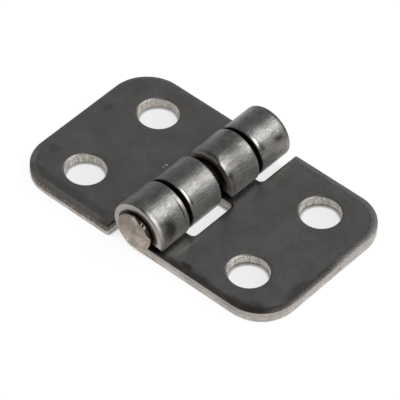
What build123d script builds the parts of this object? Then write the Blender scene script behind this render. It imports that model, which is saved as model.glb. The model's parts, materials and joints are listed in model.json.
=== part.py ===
"""Butt hinge with open rolled knuckles, lying flat with its two leaves spread.

The frame: +Z is up, the mounting plane is z = 0, and the pin runs along Y over the
origin. The left leaf reaches to -X and the right leaf to +X. Millimetres throughout.
"""
import os

from build123d import *

# Driving dimensions of one leaf
leaf_length = 30.0  # along the pin
leaf_reach = 25.0  # from the pin's axis to the outer edge
sheet = 2.0  # thickness of the steel
corner_r = 6.5  # outer corners of the leaf
edge_bevel = 0.35  # rolled-over edge that the punch leaves on the upper face
rim_bevel = 0.3  # tumbled edge on the lower face and round the barrel's rims
hole_d = 6.5  # clearance hole for an M6 screw
hole_from_pin = 16.0  # from the pin's axis to the holes
hole_pitch = 16.5  # between the two holes of a leaf

# Driving dimensions of the barrel
pin_d = 5.0
pin_clearance = 0.05  # between the pin and the bore, all round
roll_wrap = 292.0  # degrees that a tongue turns round the pin
middle_gap = 1.0  # between the two inner knuckles, with the leaves in line
side_clearance = 0.7  # between an outer knuckle and its neighbour, with the play taken up
leaf_shift = 0.8  # how far the play has let the leaves slide out of line
notch_clearance = 0.85  # from a knuckle to the notch that it turns in
notch_corner_r = 0.8  # no more than the clearance, so that it stays off the knuckle

# Driving dimensions of the peened heads on the pin
head_d = 6.6
head_height = 0.85
head_clearance = 0.05  # between a head and the knuckle beside it
head_edge_round = 0.35
head_dome = 0.12  # how far the middle of a head stands above its edge

# Sizes that follow
bore_r = pin_d / 2 + pin_clearance
barrel_r = bore_r + sheet
pin_height = barrel_r
notch_edge = barrel_r + notch_clearance
half_length = leaf_length / 2
barrel_length = leaf_length - leaf_shift
knuckle_width = (leaf_length - middle_gap - 2 * (side_clearance + leaf_shift)) / 4
past_the_edge = sheet  # how far a cut runs out into the open

# The left leaf is the right leaf turned half round, and they share the play
right_frame = Plane(origin=(0, leaf_shift / 2, 0), x_dir=(1, 0, 0), z_dir=(0, 0, 1))
left_frame = Plane(origin=(0, -leaf_shift / 2, 0), x_dir=(-1, 0, 0), z_dir=(0, 0, 1))

# Each leaf has a knuckle at one end and one past the middle, with a notch after each
notches = [
    (knuckle_width - half_length, middle_gap / 2),
    (middle_gap / 2 + knuckle_width, half_length + past_the_edge),
]


def rolled_leaf(frame):
    """A flat punched leaf whose two tongues pass under the pin and roll up round it."""
    away_from_pin = Axis(frame.origin, frame.x_dir)
    section = Plane(origin=frame.origin, x_dir=frame.x_dir, z_dir=-frame.y_dir)
    with BuildPart() as leaf:
        # The side view: a strip that curls back over the pin to the side it came from
        with BuildSketch(section):
            with BuildLine():
                outside = CenterArc((0, pin_height), barrel_r, -90, -roll_wrap)
                inside = CenterArc((0, pin_height), bore_r, -90, -roll_wrap)
                Line(outside @ 1, inside @ 1)
                Polyline(outside @ 0, (leaf_reach, 0), (leaf_reach, sheet), inside @ 0)
            make_face()
        extrude(amount=half_length, both=True)
        fillet(leaf.edges().filter_by(Axis.Z), corner_r)

        # The notches part the roll into two knuckles and clear the other leaf's
        with BuildSketch(frame):
            for near_end, far_end in notches:
                with BuildLine():
                    Polyline(
                        (-barrel_r - past_the_edge, near_end),
                        (notch_edge, near_end),
                        (notch_edge, far_end),
                        (-barrel_r - past_the_edge, far_end),
                        close=True,
                    )
                make_face()
            fillet(vertices().group_by(Axis.X)[-1], min(notch_corner_r, notch_clearance))
        extrude(amount=2 * barrel_r, mode=Mode.SUBTRACT)

        with Locations(frame.offset(sheet)):
            with Locations((hole_from_pin, -hole_pitch / 2), (hole_from_pin, hole_pitch / 2)):
                Hole(hole_d / 2)

        # Both faces lose their sharp outline. The bevel runs on along the knuckles, the
        # upper one round the mouths of the bore and the lower one round the outer rims.
        # The two edges nearest the pin are the seams where flat turns into roll.
        flat_faces = leaf.faces().filter_by(Axis.Z).sort_by(Axis.Z)
        upper_outline = flat_faces[-1].edges().sort_by(away_from_pin)[2:]
        chamfer(upper_outline, edge_bevel)
        flat_faces = leaf.faces().filter_by(Axis.Z).sort_by(Axis.Z)
        lower_outline = flat_faces[0].outer_wire().edges().sort_by(away_from_pin)[2:]
        chamfer(lower_outline, rim_bevel)
    return leaf


right_leaf = rolled_leaf(right_frame)
left_leaf = rolled_leaf(left_frame)

# The pin: a plain rod through all four knuckles, peened over at both ends
shank_end = barrel_length / 2 + head_clearance
head_face = shank_end + head_height
head_rim = (head_d / 2, head_face - head_dome)
with BuildPart() as hinge_pin:
    with BuildSketch(Plane.XY.offset(pin_height)):
        with BuildLine():
            Polyline((0, 0), (pin_d / 2, 0), (pin_d / 2, shank_end), (head_d / 2, shank_end))
            Line((head_d / 2, shank_end), head_rim)
            TangentArc((0, head_face), head_rim, tangent=(1, 0))
            Line((0, head_face), (0, 0))
        make_face()
        fillet(vertices().group_by(Axis.X)[-1].sort_by(Axis.Y)[-1], head_edge_round)
        mirror(about=Plane.XZ)
    revolve(axis=Axis((0, 0, pin_height), (0, 1, 0)))

# One file for each piece
os.makedirs("parts", exist_ok=True)
left_leaf.part.label = "left_leaf"
export_step(left_leaf.part, "parts/left_leaf.step")
right_leaf.part.label = "right_leaf"
export_step(right_leaf.part, "parts/right_leaf.step")
hinge_pin.part.label = "hinge_pin"
export_step(hinge_pin.part, "parts/hinge_pin.step")
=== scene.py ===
# %% [markdown]
# # A butt hinge with open rolled knuckles
# The hinge is three pieces of stainless steel: two leaves punched out of 2 mm sheet, and
# the pin that holds them together. Each leaf is one flat blank whose two tongues are rolled
# round the pin. The leaves are dark and matt from tumbling, the knuckles shine where the
# rolling tool rubbed them, and the cut edges and the hammered pin heads are bare and warm.
#
# The lesson goes through them in that order: the blank, the roll, the pin, the steels, and
# then the camera and the light. It starts from the packed model, which is the fixed frame.

# %% Load the fixed frame
import json
import math

import bpy
from mathutils import Matrix, Vector, noise
from mathutils.geometry import delaunay_2d_cdt


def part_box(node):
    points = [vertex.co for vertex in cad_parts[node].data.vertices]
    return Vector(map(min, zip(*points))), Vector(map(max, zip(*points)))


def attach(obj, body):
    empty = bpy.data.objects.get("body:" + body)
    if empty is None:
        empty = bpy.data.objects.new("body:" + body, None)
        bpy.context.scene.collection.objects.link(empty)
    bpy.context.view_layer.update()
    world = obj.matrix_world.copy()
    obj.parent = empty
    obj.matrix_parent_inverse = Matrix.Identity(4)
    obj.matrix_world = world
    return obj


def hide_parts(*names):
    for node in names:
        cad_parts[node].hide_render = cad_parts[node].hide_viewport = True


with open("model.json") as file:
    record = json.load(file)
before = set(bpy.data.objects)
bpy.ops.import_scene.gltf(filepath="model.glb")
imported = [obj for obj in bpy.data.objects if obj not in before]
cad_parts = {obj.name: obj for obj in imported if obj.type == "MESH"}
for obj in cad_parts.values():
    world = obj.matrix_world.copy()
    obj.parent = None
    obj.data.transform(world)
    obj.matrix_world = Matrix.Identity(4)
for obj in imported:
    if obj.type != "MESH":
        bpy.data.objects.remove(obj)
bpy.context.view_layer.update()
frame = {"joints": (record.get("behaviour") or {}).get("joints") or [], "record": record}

mm = 0.001

# %% [markdown]
# ## Sizes from the frame
# Everything that the frame can tell is read from it, so that the leaves and the pin follow
# the model when it changes. The rest are the sizes of the sheet and the punching tool,
# which the frame doesn't state. All the sizes are in millimetres, as a toolmaker has them.

# %% Sizes of the leaves, the barrel and the pin
leaf_low, leaf_high = (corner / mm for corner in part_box("right_leaf"))
pin_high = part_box("hinge_pin")[1] / mm
screws = next(m for m in frame["record"]["mounts"] if m["name"] == "right_screws")
swing = frame["joints"][0]

pin_height = swing["pos_m"][2] / mm
barrel_radius = -leaf_low.x
leaf_reach = leaf_high.x
leaf_length = leaf_high.y - leaf_low.y
leaf_shift = (leaf_high.y + leaf_low.y) / 2
hole_from_pin = screws["pos_m"][0] / mm
hole_pitch = screws["dims"]["spacing_y_mm"]
hole_radius = screws["dims"]["hole_r_mm"]
head_radius = pin_high.x
head_end = pin_high.y

sheet = 2.0
bore_radius = barrel_radius - sheet
corner_radius = 6.5
knuckle_width = 6.5
middle_gap = 1.0
notch_clearance = 0.85
notch_edge = barrel_radius + notch_clearance
notch_radius = 0.8
roll_wrap = 292.0
print("leaf", round(leaf_reach, 2), "by", round(leaf_length, 2))
print("barrel radius", round(barrel_radius, 2), "bore radius", round(bore_radius, 2))

# %% [markdown]
# ## The outline of the blank
# A blank is easiest to draw where it is flat. Its corners go round with the metal on the
# left hand, each with the radius that the punch gave it. One function then walks the rim,
# moved in by any distance. Because every rim has the same number of points in the same
# order, rims at different heights can be joined by plain four-sided faces.
#
# A boolean cut and a bevel modifier would be quicker to write, but a bevel can't change its
# width along an edge, and the rolled tongues need rows of points that a boolean won't give.

# %% The corners of a leaf's blank, along s (away from the pin) and y (along the pin)
half_length = leaf_length / 2
middle_of_sheet = (barrel_radius + bore_radius) / 2
tongue_end = -math.radians(roll_wrap) * middle_of_sheet
second_knuckle = middle_gap / 2
tip_radius = 0.8
burr_radius = 0.3

blank_corners = [
    (tongue_end, -half_length, tip_radius),
    (leaf_reach, -half_length, corner_radius),
    (leaf_reach, half_length, corner_radius),
    (notch_edge, half_length, burr_radius),
    (notch_edge, second_knuckle + knuckle_width, notch_radius),
    (tongue_end, second_knuckle + knuckle_width, tip_radius),
    (tongue_end, second_knuckle, tip_radius),
    (notch_edge, second_knuckle, notch_radius),
    (notch_edge, knuckle_width - half_length, notch_radius),
    (tongue_end, knuckle_width - half_length, tip_radius),
]
hole_centres = [(hole_from_pin, -hole_pitch / 2), (hole_from_pin, hole_pitch / 2)]
rim_step = 0.32
least_radius = 0.04


def steps_along(length):
    return max(3, math.ceil(length / rim_step))


def blank_rim(inset):
    """The outer rim, moved into the metal by inset, as points at even steps."""
    arcs, counts = [], []
    total = len(blank_corners)
    for at, (s, y, radius) in enumerate(blank_corners):
        here = Vector((s, y))
        before = here - Vector(blank_corners[at - 1][:2])
        after = Vector(blank_corners[(at + 1) % total][:2]) - here
        run_in, run_out = before.normalized(), after.normalized()
        turns_left = run_in.cross(run_out) > 0
        inner = max(radius - inset, least_radius) if turns_left else radius + inset
        moved = here + inset * (run_in.orthogonal() + run_out.orthogonal())
        centre = moved - inner * run_in + inner * run_out
        count = steps_along(radius * math.pi / 2)
        arc = []
        for step in range(count + 1):
            angle = math.pi / 2 * step / count
            arc.append(centre + inner * (math.sin(angle) * run_in - math.cos(angle) * run_out))
        arcs.append(arc)
        next_radius = blank_corners[(at + 1) % total][2]
        counts.append(steps_along(after.length - radius - next_radius))
    rim = []
    for at, arc in enumerate(arcs):
        rim += arc
        start, end = arc[-1], arcs[(at + 1) % total][0]
        rim += [start.lerp(end, step / counts[at]) for step in range(1, counts[at])]
    return rim


def hole_rim(centre, inset):
    """A screw hole's rim, walked clockwise, which again keeps the metal on the left."""
    count = steps_along(math.tau * hole_radius)
    angles = [-math.tau * step / count for step in range(count)]
    radius = hole_radius + inset
    return [Vector(centre) + radius * Vector((math.cos(a), math.sin(a))) for a in angles]


print("points round the blank", len(blank_rim(0)), "and round a hole", len(hole_rim((0, 0), 0)))

# %% [markdown]
# ## The edge that a punch leaves
# A punched edge has four zones. The upper face is drawn down into a shallow roll-over that
# ends in a crisp lip, then comes a smooth cut, then a rough break that stands back a
# little, and at the bottom the burr, which tumbling has worn round. The section below is a
# list of steps, each with its distance in from the rim, its height in the sheet, and the
# finish of the band that starts there. A soft quarter circle instead of the lip would catch
# the lamp all the way round, and the real leaf has no such bright line. The roll-over is
# narrower where the punch had little room, along the notches and round the holes.

# %% The section of a punched edge, from the upper face down to the lower one
roll_over_width, roll_over_depth = 0.95, 0.17
notch_roll_over, hole_roll_over = 0.35, 0.35
lip_radius = 0.06
worn_width, worn_depth = 0.3, 0.26
break_height = 1.0
break_back = 0.035
top_insets, underside_insets = (1.5, 1.15), (0.5, 0.75, 1.1, 1.5)
cut_heights = (1.55, break_height + 0.25, break_height + 0.08)
break_heights = (break_height, 0.75, 0.5)
roll_over_steps, lip_steps, worn_steps = 6, 3, 6
bare_worn_steps = 2
FACE, CUT, BARREL, HOLE, SIDE = range(5)

edge_section = [(inset, sheet, FACE) for inset in top_insets]
for step in range(roll_over_steps + 1):
    share = step / roll_over_steps
    edge_section.append((
        roll_over_width + (lip_radius - roll_over_width) * share,
        sheet - roll_over_depth * share * share,
        FACE,
    ))
for step in range(1, lip_steps + 1):
    angle = math.radians(90 * step / lip_steps)
    edge_section.append((
        lip_radius * (1 - math.sin(angle)),
        sheet - roll_over_depth - lip_radius * (1 - math.cos(angle)),
        CUT,
    ))
edge_section += [(0.0, height, CUT) for height in cut_heights]
edge_section += [(break_back, height, CUT) for height in break_heights]
for step in range(worn_steps + 1):
    angle = math.radians(90 * step / worn_steps)
    edge_section.append((
        break_back + (worn_width - break_back) * (1 - math.cos(angle)),
        worn_depth * (1 - math.sin(angle)),
        CUT if step < bare_worn_steps else BARREL,
    ))
edge_section += [(inset, 0.0, BARREL) for inset in underside_insets]
print("steps in the section", len(edge_section))

# %% [markdown]
# ## Rims that the rolling tool changed
# On the rolled knuckles the outer rims are not all alike. Two are rubbed a little rounder
# than the rest, and the front one is slightly flattened. The one at the middle gap was
# pressed into a wide shoulder as far as the top, and from there on it is nearly sharp. So
# each such rim has a width for its worn zone, a flatness from 0, round, to 1, a bevel, and
# the turn in degrees past which it is sharp. A bevel modifier has one width for all edges,
# so the steps of the section are moved one by one instead.

# %% How the outer rim of each knuckle is worn: its width, its flatness and its sharp part
deepest = edge_section[0][0]
sharp_width = 0.16
sharpens_over = 12
wear_sets_in = 2.0
on_rim = 0.05
rim_wear = {
    "right_leaf": {-half_length: (0.34, 0.2, roll_wrap), second_knuckle: (0.65, 0.5, 198.0)},
    "left_leaf": {
        second_knuckle + knuckle_width: (0.36, 0.0, roll_wrap),
        knuckle_width - half_length: (0.36, 0.0, roll_wrap),
    },
}


def wear_at(leaf, point):
    """The worn zone's width and flatness where a point of the rim lies."""
    rolled_part = min(max(-point.x / wear_sets_in, 0.0), 1.0)
    turned = math.degrees(-point.x / middle_of_sheet)
    for side, (width, flatness, sharp_past) in rim_wear[leaf].items():
        if abs(point.y - side) < on_rim:
            width = worn_width + (width - worn_width) * rolled_part
            sharp = min(max((turned - sharp_past) / sharpens_over, 0), 1)
            return width + (sharp_width - width) * sharp, flatness * rolled_part * (1 - sharp)
    return worn_width, 0.0


def worn_place(inset, height, width, flatness):
    """A step of the section, moved to where this rim's own wear puts it."""
    if height >= break_height:
        return inset, height
    depth = worn_depth * width / worn_width
    if height > worn_depth:
        share = (height - worn_depth) / (break_height - worn_depth)
        return inset, depth + share * (break_height - depth)
    if inset > worn_width:
        share = (inset - worn_width) / (deepest - worn_width)
        return width + share * (deepest - width), height
    down = 1 - height / worn_depth
    across = (inset - break_back) / (worn_width - break_back)
    angle = math.asin(down)
    down += flatness * (angle / (math.pi / 2) - down)
    across += flatness * (angle / (math.pi / 2) - across)
    return break_back + across * (width - break_back), depth * (1 - down)


print("rims with a wear of their own", sum(len(rims) for rims in rim_wear.values()))

# %% [markdown]
# ## The rings of an edge
# The section is now carried round a rim. Below the smooth cut the metal tore instead of
# being cut, so there the surface stands back by a little noise, in stripes that run down
# the edge. The dents are real moves of the points, because they show in the outline.

# %% Carry the section round a rim
tear_depth = 0.014
lowest_tear = 0.1
beside_notch = 0.1


def torn_back(point, height):
    """How far the broken part of the cut stands back, in stripes that run down the edge."""
    if height > break_height or height < lowest_tear:
        return 0.0
    stripes = noise.noise(Vector((point.x * 1.6, point.y * 1.6, height * 0.5)))
    chips = noise.noise(Vector((point.x * 4.0, point.y * 4.0, height * 4.0)))
    return tear_depth * (stripes + 0.8 * chips + 0.8)


def edge_rings(leaf, rim_at, roll_over_share=1.0):
    """The edge section carried round a rim: a list of rings of (s, y, height, inset)."""
    rim, inner_rim = rim_at(0.0), rim_at(deepest)
    wear = [wear_at(leaf, at) for at in rim]
    rings = []
    for inset, height, zone in edge_section:
        ring = []
        for at, flat, inner, worn in zip(rim, rim_at(inset), inner_rim, wear):
            moved, up = worn_place(inset, height, *worn)
            if height > break_height and lip_radius <= inset <= roll_over_width:
                at_notch = at.x <= notch_edge + beside_notch
                share = min(roll_over_share, notch_roll_over if at_notch else 1.0)
                moved = lip_radius + (inset - lip_radius) * share
            moved += torn_back(at, height)
            if moved != inset:
                flat = flat.lerp(inner, (moved - inset) / (deepest - inset))
            ring.append((flat.x, flat.y, up, moved))
        rings.append(ring)
    return rings


rings = edge_rings("right_leaf", blank_rim)
print("rings", len(rings), "of", len(rings[0]), "points")

# %% [markdown]
# ## Rolling the tongues
# The blank is bent after it is drawn. A point's distance past the seam becomes an angle
# round the pin, and its height in the sheet becomes its distance from the pin. Here the
# lower face of the sheet turns into the outside of the barrel. The end of the tongue
# springs back a little, as rolled steel does when the tool lets go.
#
# Hand-fed tools don't roll every knuckle alike. The front one came out full, low and to the
# left, and the third and the rearmost sit low and to the right. The difference grows over
# the first quarter turn, so that each tongue still leaves its leaf flat.

# %% Bending one point of the blank
# For each knuckle: what its radius gains, where its middle goes along s and z, and how far
# its end springs back
knuckle_set = {
    ("right_leaf", "first"): (0.18, -0.18, -0.18, 0.8),
    ("right_leaf", "second"): (0.0, 0.17, -0.1, 1.6),
    ("left_leaf", "first"): (-0.02, -0.32, -0.16, 0.2),
    ("left_leaf", "second"): (0.0, 0.0, 0.0, 0.05),
}


def rolled(leaf, s, y, height):
    """Where a point of the flat blank lies once its tongue is rolled up."""
    if s >= 0:
        return Vector((s, y, height))
    turn = -s / middle_of_sheet
    gain, along_s, along_z, spring = knuckle_set[leaf, "first" if y < 0 else "second"]
    quarter = min(turn / (math.pi / 2), 1)
    share = quarter * quarter * (3 - 2 * quarter)
    freed = max(turn - math.pi, 0) / math.pi
    radius = barrel_radius - height + share * gain + spring * freed ** 3
    return Vector((
        share * along_s - radius * math.sin(turn),
        y,
        pin_height + share * along_z - radius * math.cos(turn),
    ))


print("a tongue ends at", [round(v, 2) for v in rolled("left_leaf", tongue_end, 0, sheet)])

# %% [markdown]
# ## Filling the two faces
# Between the innermost rings the faces are flat in the blank, so a triangulation closes
# them. Blender has one that respects outlines and leaves the holes open. The tongues get
# extra rows of points first, because a large triangle couldn't follow the roll.

# %% The triangles of a face of the blank
row_step = 0.34
column_count = 4
margin = deepest + 0.25
past_the_seam = 0.6
inside_only, merge_distance = 1, 1e-6


def points_inside_tongues():
    """Rows of points over both tongues, clear of the rings along their edges."""
    span = knuckle_width - 2 * margin
    row_count = int((-tongue_end - margin + past_the_seam) / row_step)
    found = []
    for near_side in (-half_length, second_knuckle):
        columns = [near_side + margin + k * span / (column_count - 1) for k in range(column_count)]
        for row in range(row_count):
            s = tongue_end + margin + row * row_step
            found += [Vector((s, y)) for y in columns]
    return found


def fill(loops, loose):
    """Triangles inside the first loop and outside the others, with loose points taken in."""
    points, outlines = [], []
    for loop in loops:
        walk = list(range(len(points), len(points) + len(loop)))
        outlines.append(walk[::-1] if outlines else walk)
        points += loop
    points += loose
    found = delaunay_2d_cdt(points, [], outlines, inside_only, merge_distance, True)
    corners, triangles, source, lies_in = found[0], found[2], found[3], found[5]
    made = []
    for triangle, owners in zip(triangles, lies_in):
        if owners != [0]:
            continue
        a, b, c = (corners[k] for k in triangle)
        order = triangle if (b - a).cross(c - a) > 0 else triangle[::-1]
        made.append([source[k][0] for k in order])
    return made


print("loose points", len(points_inside_tongues()))

# %% [markdown]
# ## A leaf
# The left leaf is the same punching turned half round. Every vertex keeps where it was in
# the flat blank, in an attribute that the materials read later: streaks that were drawn in
# the strip then follow the sheet round the barrel, which no box or sphere mapping would do.
# Each band of the section has its own finish, and the cut has three: the outer rim's, the
# screw holes', and that of the knuckles' sides, where dirt has gathered and shade is painted in.

# %% The surface of a leaf's blank
dirt_and_shade_past = 0.4


def finish_of(zone, s, at_hole):
    """The finish of a face of the mesh, by its band and its distance from the pin."""
    if zone == BARREL:
        return BARREL if s < 0 else FACE
    if zone != CUT:
        return zone
    if at_hole:
        return HOLE
    return SIDE if s < -dirt_and_shade_past else CUT


def blank_surface(leaf):
    """Vertices as (s, y, height, inset), the faces between them, and the faces' finishes."""
    flat, faces, zones, walls = [], [], [], []
    outlines = [blank_rim] + [lambda inset, c=c: hole_rim(c, inset) for c in hole_centres]
    for at_hole, outline in enumerate(outlines):
        rings = edge_rings(leaf, outline, hole_roll_over if at_hole else 1.0)
        size, base = len(rings[0]), len(flat)
        walls.append((base, size, len(rings)))
        for ring in rings:
            flat += [(*p[:3], deepest) for p in ring] if at_hole else ring
        for band in range(len(rings) - 1):
            high, low = base + band * size, base + (band + 1) * size
            for k in range(size):
                after = (k + 1) % size
                faces.append((low + k, low + after, high + after, high + k))
                zones.append(finish_of(edge_section[band][2], rings[0][k][0], at_hole))
    for height, at_top in ((sheet, True), (0.0, False)):
        loops, ids = [], []
        for base, size, count in walls:
            start = base if at_top else base + (count - 1) * size
            ids += range(start, start + size)
            loops.append([Vector(flat[k][:2]) for k in range(start, start + size)])
        loose = points_inside_tongues()
        ids += range(len(flat), len(flat) + len(loose))
        flat += [(p.x, p.y, height, deepest) for p in loose]
        for triangle in fill(loops, loose):
            corner = [ids[k] for k in triangle]
            faces.append(corner if at_top else corner[::-1])
            middle = sum(flat[k][0] for k in corner) / 3
            zones.append(finish_of(FACE if at_top else BARREL, middle, False))
    return flat, faces, zones


blanks = {leaf: blank_surface(leaf) for leaf in rim_wear}
for leaf, surface in blanks.items():
    print(leaf, "vertices of the blank", len(surface[0]))

# %% Roll both leaves up
def to_hinge(leaf, point):
    """From a leaf's own frame to the frame of the whole hinge, in metres."""
    x, y, z = point
    if leaf == "left_leaf":
        x, y = -x, -y - leaf_shift
    else:
        y = y + leaf_shift
    return Vector((x, y, z)) * mm


def build_leaf(leaf):
    flat, faces, zones = blanks[leaf]
    mesh = bpy.data.meshes.new(leaf + "_rolled")
    mesh.from_pydata([to_hinge(leaf, rolled(leaf, *p[:3])) for p in flat], [], faces)
    mesh.validate()
    mesh.polygons.foreach_set("material_index", zones)
    mesh.attributes.new("blank", "FLOAT_VECTOR", "POINT")
    mesh.attributes.new("inset", "FLOAT", "POINT")
    blank_place = [value for p in flat for value in to_hinge(leaf, p[:3]) / mm]
    mesh.attributes["blank"].data.foreach_set("vector", blank_place)
    mesh.attributes["inset"].data.foreach_set("value", [p[3] for p in flat])
    mesh.shade_smooth()
    piece = bpy.data.objects.new(leaf + "_rolled", mesh)
    bpy.context.scene.collection.objects.link(piece)
    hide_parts(leaf)
    print(leaf, "faces", len(mesh.polygons))
    return piece


left_leaf = build_leaf("left_leaf")
right_leaf = build_leaf("right_leaf")
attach(left_leaf, "left_half")
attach(right_leaf, "right_half")

# %% [markdown]
# ## The pin and its hammered heads
# The pin is a rod whose two ends were beaten over into flat heads, so they are round only
# by eye: the blows leave dents on the face, and metal cracks away at the rim. A turned
# profile gives the rod, and the dents are moves of the vertices towards the inside, which
# keeps the pin within its length. The front head has lost a sliver on its upper right, and
# it leans a little to the left.

# %% The profile of the pin, from the middle of one face to the middle of the other
pin_clearance = 0.05
head_clearance = 0.05
pin_radius = bore_radius - pin_clearance
shank_end = leaf_high.y - 2 * leaf_shift + head_clearance
head_dome = 0.12
head_round = 0.12
head_turn = 110
head_undercut, undercut_step = 0.2, 0.1
face_steps = 13


def half_profile():
    """(radius, distance from the pin's middle) from a face's middle to mid-rod."""
    flat_radius = head_radius - head_round
    shares = [k / (face_steps - 1) for k in range(face_steps)]
    steps = [(flat_radius * share, head_end - head_dome * share ** 2) for share in shares]
    for k in range(1, 6):
        angle = math.radians(head_turn * k / 5)
        steps.append((
            flat_radius + head_round * math.sin(angle),
            head_end - head_dome - head_round * (1 - math.cos(angle)),
        ))
    back = steps[-1][1]
    steps += [(head_radius - head_undercut * k / 3, back - undercut_step * k) for k in (1, 2, 3)]
    steps += [(pin_radius, shank_end * share) for share in (1, 0.66, 0.33)]
    return steps


profile = half_profile()
profile += [(radius, -along) for radius, along in reversed(profile)]
print("steps in the pin's profile", len(profile))

# %% What the hammer did to the heads
chip_middle, chip_reach = math.radians(40), math.radians(37)
chip_depth = 0.78
chip_length = 0.62
dent_depth, pit_depth = 0.16, 0.07
rim_wobble = 0.04


def chip(angle, behind):
    """How much of the front head's radius is gone at an angle, this far behind its face."""
    off = abs((angle - chip_middle + math.pi) % math.tau - math.pi) / chip_reach
    if off >= 1:
        return 0.0
    ragged = 1 + 0.25 * noise.noise(Vector((angle * 4.0, behind * 5.0, 3.0)))
    return chip_depth * (1 - off ** 4) * ragged * max(1 - behind / chip_length, 0) ** 0.8


def hammered(radius, along, angle):
    """A head's surface pushed in by the hammer: returns the new radius and distance."""
    side = 1 if along > 0 else -1
    at = Vector((radius * math.cos(angle), radius * math.sin(angle), 9.0 * side))
    out = abs(along)
    if out <= shank_end:
        return radius, along
    dent = max(noise.noise(at * 0.85), 0) * dent_depth + abs(noise.noise(at * 2.2)) * pit_depth
    share = radius / head_radius
    rim = noise.noise(Vector((math.cos(angle), math.sin(angle), side)) * 2.3)
    radius *= 1 - share * share * (rim_wobble * (rim + 0.6))
    if side < 0:
        radius -= share * share * chip(angle, head_end - out)
    return radius, side * (out - dent * (out - shank_end) / (head_end - shank_end))


print("deepest chip", round(max(chip(math.radians(a), 0.0) for a in range(90)), 2), "mm")

# %% Build the pin
turns = 144
front_head_leans = -0.15
shows_chipped = 0.1
ON_ROD = 2.0


def flank_of(step, along, angle):
    """0 on a head's face, 0.5 on its rim, 1 where the rim is chipped, and 2 on the rod."""
    if abs(along) <= shank_end:
        return ON_ROD
    from_end = min(step, len(profile) - 1 - step)
    share = min(max(from_end - face_steps, 0) / 2, 1)
    chipped = along < 0 and chip(angle, 0.0) > shows_chipped
    return share if chipped else share * 0.5


verts, faces, flanks = [], [], []
for step, (radius, along) in enumerate(profile[1:-1], 1):
    for k in range(turns):
        angle = math.tau * k / turns
        r, y = hammered(radius, along, angle)
        x = r * math.sin(angle) + (front_head_leans if along < -shank_end else 0)
        verts.append((x * mm, y * mm, (pin_height + r * math.cos(angle)) * mm))
        flanks.append(flank_of(step, along, angle))
for row in range(len(profile) - 3):
    for k in range(turns):
        a, b = row * turns + k, row * turns + (k + 1) % turns
        faces.append((a, a + turns, b + turns, b))
for row, along in ((0, head_end), (len(profile) - 3, -head_end)):
    tip = len(verts)
    verts.append((0, hammered(0, along, 0)[1] * mm, pin_height * mm))
    flanks.append(0.0)
    for k in range(turns):
        a, b = row * turns + k, row * turns + (k + 1) % turns
        faces.append((tip, a, b) if row == 0 else (tip, b, a))
pin_mesh = bpy.data.meshes.new("hinge_pin_peened")
pin_mesh.from_pydata(verts, [], faces)
pin_mesh.attributes.new("flank", "FLOAT", "POINT")
pin_mesh.attributes["flank"].data.foreach_set("value", flanks)
pin_mesh.shade_smooth()
pin = bpy.data.objects.new("hinge_pin_peened", pin_mesh)
bpy.context.scene.collection.objects.link(pin)
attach(pin, "left_half")
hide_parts("hinge_pin")
print("pin faces", len(faces))

# %% [markdown]
# ## Helpers for materials
# A material here is a small tree of nodes. The class below only saves typing: each method
# adds one kind of node, plugs in what it is given, and hands back the output to go on with.

# %% A pen for drawing node trees
class Pen:
    def __init__(self, tree):
        self.tree = tree

    def node(self, kind, inputs=(), **settings):
        made = self.tree.nodes.new("ShaderNode" + kind)
        for name, value in settings.items():
            setattr(made, name, value)
        for name, value in dict(inputs).items():
            if isinstance(value, bpy.types.NodeSocket):
                self.tree.links.new(value, made.inputs[name])
            else:
                made.inputs[name].default_value = value
        return made

    def effect(self, group, **inputs):
        return self.node("Group", inputs, node_tree=group).outputs

    def math(self, operation, a, b=0.0, c=0.0):
        return self.node("Math", {0: a, 1: b, 2: c}, operation=operation).outputs[0]

    def times(self, first, *factors):
        for factor in factors:
            first = self.math("MULTIPLY", first, factor)
        return first

    def vector(self, operation, a, b=(0.0, 0.0, 0.0), output=0):
        found = self.node("VectorMath", {0: a, 1: b}, operation=operation)
        return found.outputs[output]

    def scale(self, vector, by):
        return self.vector("MULTIPLY", vector, by)

    def split(self, vector):
        return self.node("SeparateXYZ", {0: vector}).outputs

    def noise(self, vector, scale, detail=2.0, roughness=0.5):
        inputs = {"Vector": vector, "Scale": scale, "Detail": detail, "Roughness": roughness}
        return self.node("TexNoise", inputs).outputs["Fac"]

    def remap(self, value, low, high, new_low=0.0, new_high=1.0):
        inputs = {"Value": value, 1: low, 2: high, 3: new_low, 4: new_high}
        found = self.node("MapRange", inputs, interpolation_type="SMOOTHSTEP")
        return found.outputs[0]

    def mix(self, factor, a, b):
        return self.node("Mix", {0: factor, 6: a, 7: b}, data_type="RGBA").outputs[2]

    def attribute(self, name, output="Vector"):
        return self.node("Attribute", attribute_name=name).outputs[output]

    def bump(self, height, distance):
        inputs = {"Height": height, "Distance": distance, "Strength": 1.0}
        return self.node("Bump", inputs).outputs[0]


def new_effect(name, inputs, outputs):
    """An empty node group with named sockets: (group, pen, its inputs, its outputs)."""
    group = bpy.data.node_groups.new(name, "ShaderNodeTree")
    for socket, kind in inputs.items():
        group.interface.new_socket(socket, in_out="INPUT", socket_type="NodeSocket" + kind)
    for socket, kind in outputs.items():
        group.interface.new_socket(socket, in_out="OUTPUT", socket_type="NodeSocket" + kind)
    pen = Pen(group)
    ins = group.nodes.new("NodeGroupInput").outputs
    outs = group.nodes.new("NodeGroupOutput").inputs
    return group, pen, ins, outs


print("a pen draws", ", ".join(name for name in vars(Pen) if not name.startswith("_")))
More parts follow.
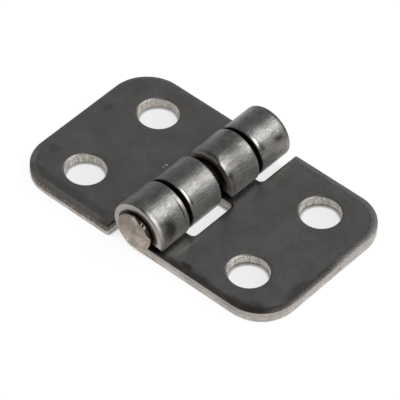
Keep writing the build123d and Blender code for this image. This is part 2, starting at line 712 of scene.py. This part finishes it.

# %% [markdown]
# ## Effects that the steels share
# Three effects are used by more than one steel, so each is a node group that is built once.
# *Tumbled* is the cloudy, faintly pitted skin that the barrel of stones leaves. *Drawn*
# is a bundle of fine lines along one direction. A third is one spot at a place of the blank:
# a blotch or a scratch, or else a painted glint or a patch of painted shade. A fourth group
# serves only the matt faces, and is apart to be read by itself. It tells how near the
# punched edge a place is, from the inset that the leaves' vertices carry, with a boundary
# that wanders, and along that band the faces get painted reflection and painted shade.

# %% The tumbled skin
tumbled, pen, ins, outs = new_effect(
    "Tumbled", {"Vector": "Vector", "Scale": "Float"}, {"Cloud": "Float", "Grain": "Float"}
)
cloud = pen.noise(ins["Vector"], pen.times(ins["Scale"], 0.22), 5.0, 0.65)
grain = pen.noise(ins["Vector"], pen.times(ins["Scale"], 2.4), 5.0, 0.7)
tumbled.links.new(pen.remap(cloud, 0.32, 0.68), outs["Cloud"])
tumbled.links.new(pen.remap(grain, 0.3, 0.7), outs["Grain"])
print("effect", tumbled.name)

# %% The drawn lines
drawn, pen, ins, outs = new_effect(
    "Drawn", {"Vector": "Vector", "Stretch": "Vector"}, {"Lines": "Float", "Scuffs": "Float"}
)
stretched = pen.scale(ins["Vector"], ins["Stretch"])
lines = pen.noise(stretched, 1.0, 5.0, 0.75)
scuffs = pen.noise(pen.scale(stretched, (0.4, 0.4, 0.4)), 1.0, 3.0, 0.6)
drawn.links.new(pen.remap(lines, 0.32, 0.68), outs["Lines"])
drawn.links.new(pen.remap(scuffs, 0.5, 0.68), outs["Scuffs"])
print("effect", drawn.name)

# %% The roll-over band, along which the faces get painted reflection and shade
roll_over_shading, pen, ins, outs = new_effect(
    "Roll-over shading", {"Vector": "Vector", "Inset": "Float"}, {"Band": "Float", "Line": "Float"}
)
wander = pen.math("SUBTRACT", pen.noise(ins["Vector"], 0.8, 5.0, 0.7), 0.5)
reach = pen.math("MULTIPLY_ADD", wander, 0.9, ins["Inset"])
roll_over_shading.links.new(pen.remap(reach, 1.4, 0.7), outs["Band"])
off_line = pen.math("ABSOLUTE", pen.math("SUBTRACT", reach, 1.15))
broken = pen.remap(pen.noise(ins["Vector"], 1.5, 4.0, 0.7), 0.36, 0.56)
roll_over_shading.links.new(pen.times(pen.remap(off_line, 0.3, 0.02), broken), outs["Line"])
print("effect", roll_over_shading.name)

# %% A spot: a stain, or a painted glint or patch of painted shade
stain_and_painted_light, pen, ins, outs = new_effect(
    "Stain and painted light", {"Vector": "Vector", "Centre": "Vector", "Size": "Vector"}, {"Mask": "Float"}
)
offset = pen.vector("DIVIDE", pen.vector("SUBTRACT", ins["Vector"], ins["Centre"]), ins["Size"])
wander = pen.math("SUBTRACT", pen.noise(ins["Vector"], 1.8, 5.0, 0.75), 0.5)
reach = pen.math("MULTIPLY_ADD", wander, 1.6, pen.vector("LENGTH", offset, output="Value"))
stain_and_painted_light.links.new(pen.remap(reach, 1.35, 0.25), outs["Mask"])
print("effect", stain_and_painted_light.name)

# %% [markdown]
# ## The steels
# Six finishes are needed, and they all start and end alike: a metallic shader, then a
# colour, a roughness and a bump. A colour is built up in layers, from clean metal to dirt,
# and some layers are painted light and shade.
#
# Stains, painted glints and spots of painted shade sit at places that were read off the
# photograph, in millimetres of the flat blank: a large random pattern would give the same
# amount of dirt, but not the same hinge. On a tongue a place is easier to give as the eye
# meets it, in degrees past the barrel's top towards the right leaf. One function turns that
# into a place of the blank.

# %% Starting and ending a steel
around = math.radians(1) * middle_of_sheet
# The side of the pin on which a leaf's tongues lie in the flat blank
left_wraps, right_wraps = 1, -1
stain_and_painted_light_depth = 0.9


def on_barrel(side, degrees_past_top, y):
    """The place in the flat blank of a spot seen so far right of the barrel's top."""
    turned = 180 - side * degrees_past_top
    return (side * around * turned, y, 0.0)


def new_steel(name):
    steel = bpy.data.materials.new(name)
    steel.use_nodes = True
    steel.node_tree.nodes.clear()
    pen = Pen(steel.node_tree)
    shader = pen.node("BsdfPrincipled", {"Metallic": 1.0})
    pen.node("OutputMaterial", {"Surface": shader.outputs[0]})
    return steel, pen, shader


def finish_steel(pen, shader, colour, roughness, normal):
    pen.tree.links.new(colour, shader.inputs["Base Color"])
    pen.tree.links.new(roughness, shader.inputs["Roughness"])
    pen.tree.links.new(normal, shader.inputs["Normal"])


def add_stains_and_painted_light(pen, place, colour, stains_and_painted_light):
    """Lay spots of dirt and of painted light over a colour: each has a centre, a size, a colour and a
    strength.
    """
    for centre, (wide, tall), tint, strength in stains_and_painted_light:
        size = (wide, tall, stain_and_painted_light_depth)
        mask = pen.effect(stain_and_painted_light, Vector=place, Centre=centre, Size=size)["Mask"]
        colour = pen.mix(pen.times(mask, strength), colour, (*tint, 1))
    return colour


print("a degree of turn is", round(around, 4), "mm of the blank")

# %% [markdown]
# ## The matt faces
# The faces are dark: stainless sheet shows only what is round it, and tumbling has made it
# matt. The roll-over leans to another part of the room than the face, so it looks darker
# along the right leaf's front and outer sides, and paler along its rear and along the left
# leaf's front, with a faint darker strip behind it. The shape alone gives little of that
# under one lamp, so masks paint the rest into the colour: painted reflection and shade.

# %% The matt faces
face_steel, pen, shader = new_steel("tumbled_face_steel")
blank = pen.attribute("blank")
x, y, _ = pen.split(blank)
on_right = pen.math("GREATER_THAN", x, 0.0)
skin = pen.effect(tumbled, Vector=blank, Scale=1.0)
colour = pen.mix(skin["Cloud"], (0.166, 0.163, 0.158, 1), (0.205, 0.201, 0.195, 1))
dirt = pen.remap(pen.noise(blank, 0.3, 3.0, 0.6), 0.5, 0.75)
colour = pen.mix(pen.times(dirt, 0.25), colour, (0.12, 0.112, 0.1, 1))

rear = pen.times(pen.remap(x, 19.0, 22.0), pen.remap(y, 0.0, 5.0))
rear = pen.times(pen.math("MAXIMUM", rear, pen.remap(y, 10.0, 12.5)), on_right)
front_and_outer = pen.math("MAXIMUM", pen.remap(y, -9.0, -12.0), pen.remap(x, 14.0, 19.0))
front_and_outer = pen.times(front_and_outer, pen.math("SUBTRACT", on_right, rear))
left_front = pen.times(pen.remap(y, -9.5, -11.5), pen.remap(x, -6.4, -7.8))
pale = pen.math("MULTIPLY_ADD", rear, 0.7, left_front)
# Painted reflection and shade of the roll-over: a dark band on the right leaf's front and outer sides,
# a pale band on its rear and on the left leaf's front, and a dark line at the pale band's inner edge.
rim = pen.effect(roll_over_shading, Vector=blank, Inset=pen.attribute("inset", "Fac"))
colour = pen.mix(pen.times(rim["Band"], front_and_outer, 0.62), colour, (0.06, 0.057, 0.053, 1))
colour = pen.mix(pen.times(rim["Band"], pale, 0.8), colour, (0.27, 0.264, 0.255, 1))
colour = pen.mix(pen.times(rim["Line"], pale, 0.4), colour, (0.05, 0.048, 0.045, 1))

# A faint darker strip behind the left leaf's pale front band: painted shade.
off_strip = pen.math("ADD", y, 12.8)
off_strip = pen.math("MULTIPLY_ADD", pen.noise(blank, 0.6, 4.0, 0.65), 1.6, off_strip)
strip = pen.times(pen.remap(pen.math("ABSOLUTE", off_strip), 1.2, 0.3), left_front)
colour = pen.mix(pen.times(strip, 0.4), colour, (0.085, 0.082, 0.078, 1))
# Four dark spots, at x 11.8, 19.5, 22.0 and 23.6 along the right leaf's front and outer edges, carry
# the painted dark band of the roll-over further in: painted shade.
colour = add_stains_and_painted_light(pen, blank, colour, [
    ((8.6, -13.3, 2.0), (1.3, 0.5), (0.04, 0.038, 0.035), 0.8),
    ((22.0, -12.9, 2.0), (2.2, 1.6), (0.05, 0.047, 0.044), 0.8),
    ((-22.4, -8.6, 2.0), (1.2, 1.0), (0.09, 0.086, 0.08), 0.45),
    ((-22.6, 3.6, 2.0), (0.7, 1.2), (0.09, 0.086, 0.08), 0.4),
    ((19.5, -13.6, 2.0), (3.0, 0.9), (0.06, 0.056, 0.052), 0.6),
    ((23.6, -6.0, 2.0), (0.8, 2.6), (0.06, 0.056, 0.052), 0.55),
    ((11.8, -13.6, 2.0), (2.2, 0.7), (0.06, 0.056, 0.052), 0.5),
    ((6.1, -10.0, 2.0), (0.35, 2.4), (0.3, 0.294, 0.282), 0.8),
    ((-7.65, -0.35, 2.0), (0.18, 0.16), (0.6, 0.59, 0.57), 1.0),
    ((-7.6, 0.3, 2.0), (0.22, 0.18), (0.75, 0.74, 0.72), 1.0),
])
rough = pen.remap(skin["Grain"], 0.0, 1.0, 0.36, 0.48)
finish_steel(pen, shader, colour, rough, pen.bump(skin["Grain"], 0.000006))
print("material", face_steel.name)

# %% [markdown]
# ## The burnished barrel
# The barrel is the same sheet, but the rolling tool rubbed it bright, with streaks along the
# pin and dark blotches of old lubricant. Anisotropy, the usual way to brushed metal, gives
# an even sheen. Here single streaks show, so they are noise that is stretched along the
# pin. The front rim is painted palest, partly rubbed metal and partly a painted reflection,
# and a painted dark line of shade parts it from its worn edge. Some spots on the rims are
# painted glints and painted shade.

# %% The burnished barrel
barrel_steel, pen, shader = new_steel("burnished_barrel_steel")
blank = pen.attribute("blank")
x, y, _ = pen.split(blank)
skin = pen.effect(tumbled, Vector=blank, Scale=2.4)
along = pen.effect(drawn, Vector=blank, Stretch=(4.2, 0.8, 1.0))
waves = pen.effect(drawn, Vector=blank, Stretch=(1.7, 0.5, 1.0))
fine = pen.noise(pen.scale(blank, (6.0, 1.2, 1.0)), 1.0, 4.0, 0.72)
colour = pen.mix(skin["Cloud"], (0.115, 0.113, 0.108, 1), (0.19, 0.187, 0.18, 1))
colour = pen.mix(pen.times(along["Lines"], 0.6), colour, (0.27, 0.265, 0.256, 1))
colour = pen.mix(pen.remap(fine, 0.47, 0.32, 0.0, 0.6), colour, (0.075, 0.072, 0.068, 1))
colour = pen.mix(pen.remap(fine, 0.52, 0.68, 0.0, 0.65), colour, (0.32, 0.315, 0.304, 1))
colour = pen.mix(pen.times(waves["Scuffs"], 0.4), colour, (0.08, 0.076, 0.07, 1))
stains_and_painted_light = [
    (right_wraps, 104, -11.5, (1.1, 3.2), (0.33, 0.315, 0.29), 0.6),
    (right_wraps, 72, -12.2, (1.7, 1.4), (0.025, 0.022, 0.018), 0.85),
    # A die mark's step near the first knuckle's rear rim, drawn as a thin dark line: the mark is real,
    # its darkness is painted shade.
    (right_wraps, 52, -9.0, (1.7, 0.13), (0.015, 0.013, 0.011), 1.0),
    (right_wraps, 42, -8.5, (1.0, 0.35), (0.36, 0.34, 0.33), 0.7),
    # On the third knuckle's front rim, a dark spot at the top is painted shade, and a pale spot at the
    # crease is a painted highlight.
    (right_wraps, 4, 1.2, (1.8, 0.4), (0.06, 0.056, 0.05), 0.5),
    (right_wraps, 34, 1.25, (0.8, 0.35), (0.3, 0.285, 0.26), 0.8),
    (right_wraps, 60, 1.5, (0.6, 0.55), (0.04, 0.035, 0.03), 0.85),
    (right_wraps, 85, 1.6, (1.2, 0.5), (0.07, 0.062, 0.054), 0.6),
    (right_wraps, 30, 4.2, (2.0, 2.2), (0.07, 0.068, 0.064), 0.75),
    (left_wraps, 55, -6.8, (0.3, 0.25), (0.03, 0.027, 0.024), 0.9),
    # On the second knuckle's front rim, a white painted glint, and behind it a thin dark line of
    # painted shade at the rim's crease.
    (left_wraps, 34, -7.2, (1.3, 0.22), (0.9, 0.88, 0.86), 1.0),
    (left_wraps, 40, -6.85, (2.0, 0.1), (0.03, 0.027, 0.024), 0.7),
    # A painted glint on the last knuckle's front rim.
    (left_wraps, 34, 8.45, (0.8, 0.22), (0.6, 0.59, 0.57), 0.9),
    (left_wraps, 58, 12.6, (0.45, 1.0), (0.03, 0.028, 0.024), 0.85),
    (left_wraps, 34, 14.45, (2.3, 0.55), (0.025, 0.023, 0.021), 1.0),
    (left_wraps, 82, 14.1, (1.0, 0.6), (0.33, 0.3, 0.26), 0.7),
    (left_wraps, 51, 8.95, (0.7, 0.6), (0.04, 0.036, 0.032), 0.75),
    (left_wraps, 90, 12.4, (1.8, 1.3), (0.3, 0.26, 0.22), 0.6),
]
colour = add_stains_and_painted_light(pen, blank, colour, [
    (on_barrel(side, degrees, y_at), size, tint, strength)
    for side, degrees, y_at, size, tint, strength in stains_and_painted_light
])

# The first knuckle's front rim is painted pale from just past the top round to the right: partly rubbed
# metal, and partly a painted reflection that the rim's shape doesn't give.
from_front = pen.math("ADD", y, half_length - leaf_shift)
ragged = pen.math("MULTIPLY_ADD", pen.noise(blank, 1.3, 4.0, 0.7), 0.5, from_front)
rubbed_and_sheen = pen.times(pen.remap(ragged, 1.2, 0.7), pen.remap(x, -around * 190, -around * 212))
rubbed_and_sheen = pen.times(rubbed_and_sheen, pen.remap(x, -around * 285, -around * 240, 0.35, 1.0))
colour = pen.mix(pen.times(rubbed_and_sheen, 0.7), colour, (0.56, 0.54, 0.515, 1))
# A thin dark line at the front rim's edge: painted shade of the crease.
painted_crease_shade = pen.remap(from_front, 0.17, 0.1)
colour = pen.mix(pen.times(painted_crease_shade, 0.8), colour, (0.03, 0.027, 0.024, 1))
rough = pen.remap(fine, 0.34, 0.66, 0.39, 0.27)
rough = pen.math("MULTIPLY_ADD", rubbed_and_sheen, 0.18, rough)
height = pen.math("MULTIPLY_ADD", waves["Lines"], 2.0, along["Lines"])
height = pen.math("MULTIPLY_ADD", skin["Grain"], 0.8, height)
finish_steel(pen, shader, colour, rough, pen.bump(height, 0.000009))
print("material", barrel_steel.name)

# %% [markdown]
# ## The bare cut
# Tumbling doesn't darken a cut as it does a face, so the cut is bare, pale and warm. Near
# the upper face it is tan on the right leaf, and torn, dark and speckled on the left one.
# The boundary is the height in the sheet, made ragged by noise: a straight one looks painted.

# %% The bare cut of the outer rims
cut_steel, pen, shader = new_steel("bare_cut_steel")
blank = pen.attribute("blank")
x, _, up = pen.split(blank)
on_left = pen.math("LESS_THAN", x, 0.0)
skin = pen.effect(tumbled, Vector=blank, Scale=2.0)
down = pen.effect(drawn, Vector=blank, Stretch=(2.0, 2.0, 0.6))
level = pen.effect(drawn, Vector=blank, Stretch=(0.5, 0.5, 5.0))
ragged = pen.math("MULTIPLY_ADD", pen.noise(blank, 1.3, 5.0, 0.7), 0.7, up)
ragged = pen.math("MULTIPLY_ADD", on_left, 0.2, ragged)
upper = pen.remap(ragged, 1.3, 1.5)
colour = pen.mix(skin["Cloud"], (0.47, 0.435, 0.4, 1), (0.65, 0.61, 0.57, 1))
tan = pen.mix(down["Lines"], (0.38, 0.345, 0.315, 1), (0.58, 0.53, 0.49, 1))
colour = pen.mix(pen.times(upper, 0.85), colour, tan)
speckle = pen.remap(pen.noise(blank, 3.2, 5.0, 0.75), 0.42, 0.6)
torn = pen.mix(speckle, (0.1, 0.08, 0.066, 1), (0.3, 0.255, 0.22, 1))
colour = pen.mix(pen.times(upper, on_left), colour, torn)
colour = pen.mix(pen.times(level["Scuffs"], 0.45), colour, (0.24, 0.2, 0.17, 1))
rough = pen.remap(down["Lines"], 0.0, 1.0, 0.5, 0.7)
height = pen.math("ADD", down["Lines"], skin["Grain"])
finish_steel(pen, shader, colour, rough, pen.bump(height, 0.00003))
print("material", cut_steel.name)

# %% [markdown]
# ## The walls of the screw holes
# The punch leaves fine lines that run down a hole's wall, and the lower half is darker and
# browner, more so in the right leaf. The lines are the same effect as on the cut, but
# stretched further, because a hole's punch rubs the whole wall.

# %% The walls of the screw holes
hole_steel, pen, shader = new_steel("punched_hole_steel")
blank = pen.attribute("blank")
x, _, up = pen.split(blank)
on_right = pen.math("GREATER_THAN", x, 0.0)
skin = pen.effect(tumbled, Vector=blank, Scale=2.0)
down = pen.effect(drawn, Vector=blank, Stretch=(3.0, 3.0, 0.35))
colour = pen.mix(down["Lines"], (0.38, 0.35, 0.31, 1), (0.88, 0.84, 0.78, 1))
ragged = pen.math("MULTIPLY_ADD", pen.noise(blank, 0.9, 5.0, 0.7), 0.9, up)
# Darker and browner towards the bottom of the wall, more so in the right leaf.
lower = pen.remap(ragged, 1.05, 0.85)
darker_below = pen.times(lower, pen.math("MULTIPLY_ADD", on_right, 0.4, 0.15))
colour = pen.mix(darker_below, colour, (0.1, 0.075, 0.06, 1))
rough = pen.remap(down["Lines"], 0.0, 1.0, 0.5, 0.7)
height = pen.math("ADD", down["Lines"], skin["Grain"])
finish_steel(pen, shader, colour, rough, pen.bump(height, 0.00003))
print("material", hole_steel.name)

# %% [markdown]
# ## The sides of the knuckles
# Between the knuckles the sides are nearly black: dirt that the tumbling stones couldn't
# reach, and painted shade of the deep gaps. The two ends of the barrel are open, so there a
# bare ring runs round the roll, which turns brown and then black towards the bore, partly
# dirt and partly painted shade beside the pin's head. The side at the middle gap is grey
# along its rim. How wide the ring is depends on the turn round the pin, the distance along
# the blank.

# %% The sides of the knuckles
side_steel, pen, shader = new_steel("knuckle_side_dirt_and_shade")
blank = pen.attribute("blank")
x, y, up = pen.split(blank)
skin = pen.effect(tumbled, Vector=blank, Scale=2.0)
turned = pen.math("ABSOLUTE", x)
at_end = pen.math("GREATER_THAN", pen.math("ABSOLUTE", y), half_length - leaf_shift - 0.1)
from_gap = pen.math("ABSOLUTE", pen.math("SUBTRACT", y, second_knuckle + leaf_shift))
at_gap = pen.math("LESS_THAN", from_gap, 0.4)
bare_up_to = pen.remap(turned, around * 150, around * 210, 1.05, 0.8)
bare_up_to = pen.math("ADD", bare_up_to, pen.remap(turned, around * 268, around * 284, 0.0, 0.3))
ragged = pen.math("MULTIPLY_ADD", pen.noise(blank, 1.2, 4.0, 0.7), 0.4, up)
beyond = pen.math("SUBTRACT", ragged, bare_up_to)

# Nearly black sides: dirt, and painted shade of the gaps and round the pin's heads.
colour = pen.mix(skin["Cloud"], (0.012, 0.01, 0.008, 1), (0.045, 0.037, 0.03, 1))
brown = pen.times(pen.remap(beyond, 0.95, 0.4), at_end)
colour = pen.mix(brown, colour, (0.105, 0.082, 0.066, 1))
grey = pen.times(pen.remap(ragged, 1.45, 0.85), at_gap)
grey = pen.times(grey, pen.remap(turned, around * 245, around * 265, 1.0, 0.6), 0.9)
colour = pen.mix(grey, colour, (0.4, 0.375, 0.34, 1))
bare = pen.mix(skin["Grain"], (0.42, 0.395, 0.365, 1), (0.66, 0.63, 0.59, 1))
bare_ring = pen.times(pen.remap(beyond, 0.35, 0.05), at_end)
colour = pen.mix(bare_ring, colour, bare)
rough = pen.remap(skin["Grain"], 0.0, 1.0, 0.5, 0.75)
finish_steel(pen, shader, colour, rough, pen.bump(skin["Grain"], 0.00003))
print("material", side_steel.name)

# %% [markdown]
# ## The peened pin
# The pin is softer steel. Its hammered heads are tan and cloudy, darker towards the upper
# left, with a painted highlight along the top of the front face's rim. Where the rim has
# chipped the metal is dark brown, with small painted glints. The rod is painted nearly black:
# painted shade of the gaps it lies in. The "flank" that the pin's vertices carry parts the
# face, the rim, the chip and the rod, which a mask by place would blur.

# %% The peened pin
peened_steel, pen, shader = new_steel("peened_pin_steel")
place = pen.scale(pen.node("TexCoord").outputs["Object"], (1 / mm,) * 3)
x, _, z = pen.split(place)
flank = pen.attribute("flank", "Fac")
skin = pen.effect(tumbled, Vector=place, Scale=2.6)
blows = pen.effect(tumbled, Vector=place, Scale=0.9)
scratches = pen.effect(drawn, Vector=place, Stretch=(4.0, 1.0, 0.8))
colour = pen.mix(skin["Cloud"], (0.42, 0.36, 0.31, 1), (0.9, 0.8, 0.71, 1))
colour = pen.mix(pen.times(scratches["Scuffs"], 0.5), colour, (0.28, 0.24, 0.21, 1))
# Darker towards the upper left.
leaning = pen.math("MULTIPLY_ADD", x, -0.6, z)
darker_upper_left = pen.remap(leaning, pin_height - 2.5, pin_height + 2.2)
colour = pen.mix(pen.times(darker_upper_left, 0.75), colour, (0.24, 0.2, 0.175, 1))
# Three short pale marks along the top of the front face's rim: a painted highlight of the rounded rim.
colour = add_stains_and_painted_light(pen, place, colour, [
    ((right, -15.4, pin_height + up), (0.22, 0.07), (0.85, 0.79, 0.73), 0.7)
    for right, up in ((-0.4, 3.02), (0.0, 2.92), (0.35, 2.74))
])
colour = pen.mix(pen.times(blows["Grain"], 0.4), colour, (0.27, 0.225, 0.19, 1))

edge = pen.mix(skin["Grain"], (0.14, 0.115, 0.095, 1), (0.42, 0.36, 0.31, 1))
colour = pen.mix(pen.remap(flank, 0.1, 0.45), colour, edge)
chipped = pen.mix(skin["Grain"], (0.02, 0.014, 0.01, 1), (0.15, 0.105, 0.08, 1))
# Small white spots on the chipped flank: painted glints.
chipped = add_stains_and_painted_light(pen, place, chipped, [
    ((right, -15.2, pin_height + up), (0.06, 0.4), (1.0, 0.98, 0.95), 1.0)
    for right, up in ((1.15, 2.55), (1.62, 2.15), (1.8, 1.96))
])
colour = pen.mix(pen.remap(flank, 0.55, 0.8), colour, chipped)
# The rod is painted nearly black: painted shade of the gaps between the knuckles.
colour = pen.mix(pen.remap(flank, 1.2, 1.8), colour, (0.04, 0.034, 0.03, 1))
rough = pen.remap(skin["Grain"], 0.0, 1.0, 0.42, 0.62)
height = pen.math("MULTIPLY_ADD", blows["Grain"], 2.0, skin["Grain"])
finish_steel(pen, shader, colour, rough, pen.bump(height, 0.00004))
print("material", peened_steel.name)

# %% Put the steels on the pieces, in the order of the finishes
for piece in (left_leaf, right_leaf):
    for steel in (face_steel, cut_steel, barrel_steel, hole_steel, side_steel):
        piece.data.materials.append(steel)
pin.data.materials.append(peened_steel)
print("steels on a leaf", [steel.name for steel in left_leaf.data.materials])

# %% [markdown]
# ## The camera
# The picture was taken from the front right, from well above, with a long lens that keeps
# the hinge's edges almost parallel. Its axes are worked out from the two angles and a
# slight roll, and the camera stands back from the point that it aims at.

# %% Aim the camera
camera_turn, camera_rise, camera_roll = (math.radians(a) for a in (39.918, 45.773, 2.131))
camera_distance = 517.4
camera_lens = 308.2
aim = Vector((-0.15, -0.37, 0.11))

level = math.cos(camera_rise)
back = Vector((math.sin(camera_turn) * level, -math.cos(camera_turn) * level, math.sin(camera_rise)))
right = Vector((math.cos(camera_turn), math.sin(camera_turn), 0))
up = back.cross(right)
rolled_right = right * math.cos(camera_roll) + up * math.sin(camera_roll)
rolled_up = back.cross(rolled_right)
axes = Matrix((rolled_right, rolled_up, back)).transposed().to_4x4()

camera_data = bpy.data.cameras.new("photo_camera")
camera_data.lens = camera_lens
camera_data.sensor_width = 36.0
camera_data.clip_start, camera_data.clip_end = 0.05, 10.0
camera = bpy.data.objects.new("photo_camera", camera_data)
camera.matrix_world = Matrix.Translation((aim + camera_distance * back) * mm) @ axes
bpy.context.scene.collection.objects.link(camera)
bpy.context.scene.camera = camera
bpy.context.scene.view_settings.view_transform = "Standard"
print("camera at", [round(v, 3) for v in camera.matrix_world.translation])

# %% [markdown]
# ## The floor and the light
# Steel shows its surroundings more than itself. The faces look dark because they mirror
# the dim back of the room, and the bright band along the barrel is one large soft lamp on
# the right. The room is lighter near the horizon than overhead, which is why an edge that
# leans towards the camera is darker than the face beside it. The white floor lights the cut
# edges from below, as white paper does.
#
# The paper's white is painted dimmer where metal closes it in, as in the holes, and darker
# at the foot of the walls: painted shade. Ambient occlusion finds such places. It looks
# along the floor in four directions, and only where it meets metal in all of them is the
# paper closed in.

# %% The floor
floor_size = 1.5
floor_mesh = bpy.data.meshes.new("floor")
floor_mesh.from_pydata(
    [(x * floor_size, y * floor_size, 0) for x, y in ((-1, -1), (1, -1), (1, 1), (-1, 1))],
    [], [(0, 1, 2, 3)],
)
floor = bpy.data.objects.new("floor", floor_mesh)
bpy.context.scene.collection.objects.link(floor)
print("floor", 2 * floor_size, "m wide")

# %% White paper
hole_reach, foot_reach = 8 * mm, 0.7 * mm
whiteness, closed_in_loses, foot_loses = 1.03, 0.2, 0.62
shown_white = 0.92

paper = bpy.data.materials.new("white_paper")
paper.use_nodes = True
paper.node_tree.nodes.clear()
pen = Pen(paper.node_tree)
most_open = 0.0
for sideways in ((1, 0, 0), (-1, 0, 0), (0, 1, 0), (0, -1, 0)):
    look = pen.node("CombineXYZ", dict(enumerate(sideways))).outputs[0]
    view = pen.node("AmbientOcclusion", {"Distance": hole_reach, "Normal": look}, samples=8)
    most_open = pen.math("MAXIMUM", view.outputs["AO"], most_open)
closed_in = pen.remap(most_open, 0.97, 0.82)
overhead = pen.node("AmbientOcclusion", {"Distance": foot_reach}, samples=8).outputs["AO"]
at_foot = pen.times(pen.remap(overhead, 0.85, 0.6), closed_in)
# The white is painted dimmer inside holes and darker at the foot of their walls: painted shade.
strength = pen.math("MULTIPLY_ADD", closed_in, -closed_in_loses, whiteness)
strength = pen.math("MULTIPLY_ADD", at_foot, -foot_loses, strength)
white = pen.node("Emission", {"Color": (1, 1, 1, 1), "Strength": strength})
matt = pen.node("BsdfDiffuse", {"Color": (0.94, 0.935, 0.93, 1)})

ray = pen.node("LightPath").outputs
seen = pen.math("MAXIMUM", ray["Is Camera Ray"], ray["Is Glossy Ray"])
seen = pen.math("MAXIMUM", seen, ray["Is Transmission Ray"])
both = pen.node("MixShader", {0: pen.times(seen, shown_white), 1: matt.outputs[0], 2: white.outputs[0]})
pen.node("OutputMaterial", {"Surface": both.outputs[0]})
floor_mesh.materials.append(paper)
print("material", paper.name)

# %% The room
room = bpy.data.worlds.new("dim_room")
bpy.context.scene.world = room
room.use_nodes = True
pen = Pen(room.node_tree)
overhead_light, horizon_adds = 0.13, 0.33
height = pen.split(pen.node("TexCoord").outputs["Generated"])[2]
beside_top = pen.math("SUBTRACT", 1.0, pen.times(height, height))
glow = pen.math("POWER", pen.math("MAXIMUM", beside_top, 0.0), 0.6)
room_light = room.node_tree.nodes["Background"]
room_light.inputs["Color"].default_value = (1, 1, 1, 1)
strength = pen.math("MULTIPLY_ADD", glow, horizon_adds, overhead_light)
room.node_tree.links.new(strength, room_light.inputs["Strength"])
print("the room goes from", overhead_light, "to", overhead_light + horizon_adds)

# %% The soft lamp, which faces the hinge from the right
towards_lamp = Vector((0.58, 0.335, 0.743)).normalized()
lamp_distance = 0.6
lamp = bpy.data.lights.new("right_softbox", "AREA")
lamp.shape = "RECTANGLE"
lamp.size, lamp.size_y = 0.75, 0.3
lamp.energy = 3.7
stand = bpy.data.objects.new("right_softbox", lamp)
stand.location = towards_lamp * lamp_distance
stand.rotation_euler = towards_lamp.to_track_quat("Z", "Y").to_euler()
bpy.context.scene.collection.objects.link(stand)
print("lamp at", [round(v, 3) for v in stand.location])
